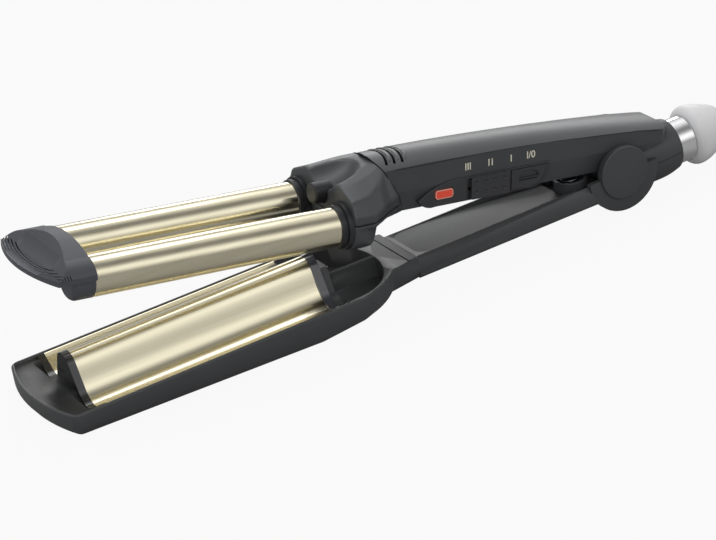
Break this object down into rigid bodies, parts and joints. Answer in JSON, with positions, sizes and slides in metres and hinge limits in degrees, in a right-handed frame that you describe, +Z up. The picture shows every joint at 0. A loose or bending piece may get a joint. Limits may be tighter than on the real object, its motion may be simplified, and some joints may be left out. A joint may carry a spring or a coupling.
{
  "type": "hair waver",
  "caption": "Triple-wave hair styling iron: two heated barrels on a hinged handle close onto a corrugated heated plate.",
  "frame": {"origin": "middle of the flat sole under the jaw of the lower arm", "axes": "+X from the jaws to the cord end, +Y to the side without controls, +Z up"},
  "size_m": [0.3857, 0.0706, 0.0821],
  "materials": {
    "gold_coat": "fine coating, satin",
    "dark_plastic": "satin moulded",
    "top_plastic": "satin moulded",
    "control_plastic": "satin moulded",
    "gloss_black": "glossy",
    "grey_plastic": "matte moulded",
    "knob_plastic": "matte moulded",
    "chrome": "bright plated",
    "steel": "plain",
    "aluminium": "extruded",
    "ceramic": "fired, plain",
    "inner_plastic": "moulded, heat resistant",
    "board": "solder resist",
    "lamp": "clear moulded",
    "red_lens": "translucent"
  },
  "bodies": {
    "lower_arm": {"lower_arm_shell": "dark_plastic", "wave_plate": "gold_coat", "plate_front_block": "gloss_black", "plate_rear_block": "gloss_black", "heat_saddle": "aluminium", "plate_heater": "ceramic", "heater_carrier": "inner_plastic", "lower_screws": "steel", "grip_cover": "dark_plastic", "spring_cup": "dark_plastic", "opening_spring": "steel", "hinge_pin": "steel", "near_hinge_cap": "dark_plastic", "far_hinge_cap": "dark_plastic", "tail_lower": "dark_plastic", "tail_upper": "dark_plastic", "swivel_neck": "chrome"},
    "swivel": {"swivel_knob": "knob_plastic", "swivel_clip": "steel"},
    "upper_arm": {"near_barrel": "gold_coat", "far_barrel": "gold_coat", "near_heater": "ceramic", "far_heater": "ceramic", "near_spreaders": "aluminium", "far_spreaders": "aluminium", "near_collar": "dark_plastic", "far_collar": "dark_plastic", "head_top_shroud": "top_plastic", "head_bottom_shroud": "dark_plastic", "head_plug": "dark_plastic", "front_cap": "grey_plastic", "cap_screws": "steel", "handle_top_cover": "top_plastic", "handle_bottom_shell": "dark_plastic", "handle_screws": "steel", "control_bezel": "control_plastic", "circuit_board": "board", "slide_switch": "inner_plastic", "power_switch": "inner_plastic", "indicator_led": "lamp", "led_lens": "red_lens"},
    "slider": {"temperature_slider": "control_plastic"},
    "button": {"power_button": "control_plastic"}
  },
  "joints": [
    {"name": "arm_hinge", "type": "hinge", "parent": "lower_arm", "child": "upper_arm", "pos_m": [0.25, 0, 0.02], "axis": [0, -1, 0], "range_deg": [0, 10.5], "stiffness_Nm_per_rad": 1, "springref_deg": -40.11, "deforming": ["opening_spring"]},
    {"name": "swivel_turn", "type": "hinge", "parent": "lower_arm", "child": "swivel", "pos_m": [0.28912, 0, 0.01666], "axis": [0.9996, 0, 0.0297], "continuous": true},
    {"name": "slider_move", "type": "slide", "parent": "upper_arm", "child": "slider", "axis": [-0.9882, 0, 0.153], "range_m": [0, 0.008]},
    {"name": "button_press", "type": "slide", "parent": "upper_arm", "child": "button", "axis": [0, 1, 0], "range_m": [0, 0.0014], "stiffness_N_per_m": 400, "springref_m": -0.002}
  ]
}
